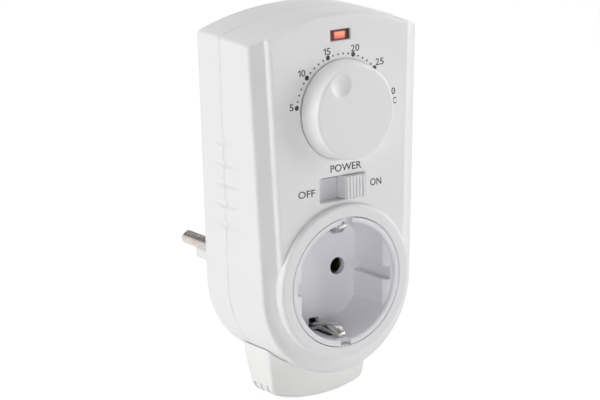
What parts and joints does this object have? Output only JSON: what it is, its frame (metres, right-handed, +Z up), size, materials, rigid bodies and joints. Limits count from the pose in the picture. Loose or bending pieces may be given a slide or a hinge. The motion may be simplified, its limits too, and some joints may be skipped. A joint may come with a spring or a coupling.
{
  "type": "plug-in thermostat",
  "caption": "Plug-in thermostat with an earthed socket, a temperature dial, a power slide switch, a red lamp and a slotted probe hood.",
  "frame": {"origin": "midway between the two plug pins, on the end face of the plug boss", "axes": "+Y out of the back along the plug pins, +Z up, +X to the right seen from the front"},
  "size_m": [0.0686, 0.083, 0.1289],
  "materials": {
    "white_case": "satin",
    "white_knob": "satin",
    "white_insert": "satin",
    "red_lens": "clear red",
    "clear_glass": "clear",
    "steel_wire": "plain",
    "nickel_plate": "polished",
    "brass_strip": "plain",
    "dark_plastic": "matt",
    "board_laminate": "satin",
    "blue_plastic": "gloss",
    "yellow_plastic": "gloss",
    "tan_lacquer": "satin",
    "zinc_screw": "plain",
    "brown_pvc": "satin",
    "black_pvc": "satin",
    "blue_pvc": "satin"
  },
  "bodies": {
    "case": {"front_cover": "white_case", "rear_cover": "white_case", "sensor_hood": "white_case", "socket_insert": "white_insert", "lamp_lens": "red_lens", "neon_lamp": "clear_glass", "neon_electrodes": "steel_wire", "live_pin": "nickel_plate", "neutral_pin": "nickel_plate", "earth_clip_upper": "nickel_plate", "earth_clip_lower": "nickel_plate", "plug_earth_strip_upper": "nickel_plate", "plug_earth_strip_lower": "nickel_plate", "earth_bridge": "brass_strip", "live_receptacle": "brass_strip", "neutral_receptacle": "brass_strip", "neutral_link": "brass_strip", "potentiometer": "dark_plastic", "switch_body": "white_insert", "control_board": "board_laminate", "relay": "blue_plastic", "mains_capacitor": "yellow_plastic", "filter_capacitor": "dark_plastic", "varistor": "blue_plastic", "comparator_chip": "dark_plastic", "resistors": "tan_lacquer", "diodes": "dark_plastic", "board_screws": "zinc_screw", "case_screws": "zinc_screw", "thermistor_bead": "dark_plastic", "sensor_leads": "steel_wire", "live_feed_wire": "brown_pvc", "switched_live_wire": "black_pvc", "neutral_tap_wire": "blue_pvc"},
    "dial": {"dial_knob": "white_knob", "pot_shaft": "steel_wire"},
    "slider": {"power_slider": "white_knob"}
  },
  "joints": [
    {"name": "dial_turn", "type": "hinge", "parent": "case", "child": "dial", "pos_m": [0, -0.0555, 0.05656], "axis": [0, 0.9992, -0.0389], "range_deg": [-50.5, 113.5]},
    {"name": "power_slide", "type": "slide", "parent": "case", "child": "slider", "axis": [1, 0, 0], "range_m": [-0.008, 0]}
  ]
}
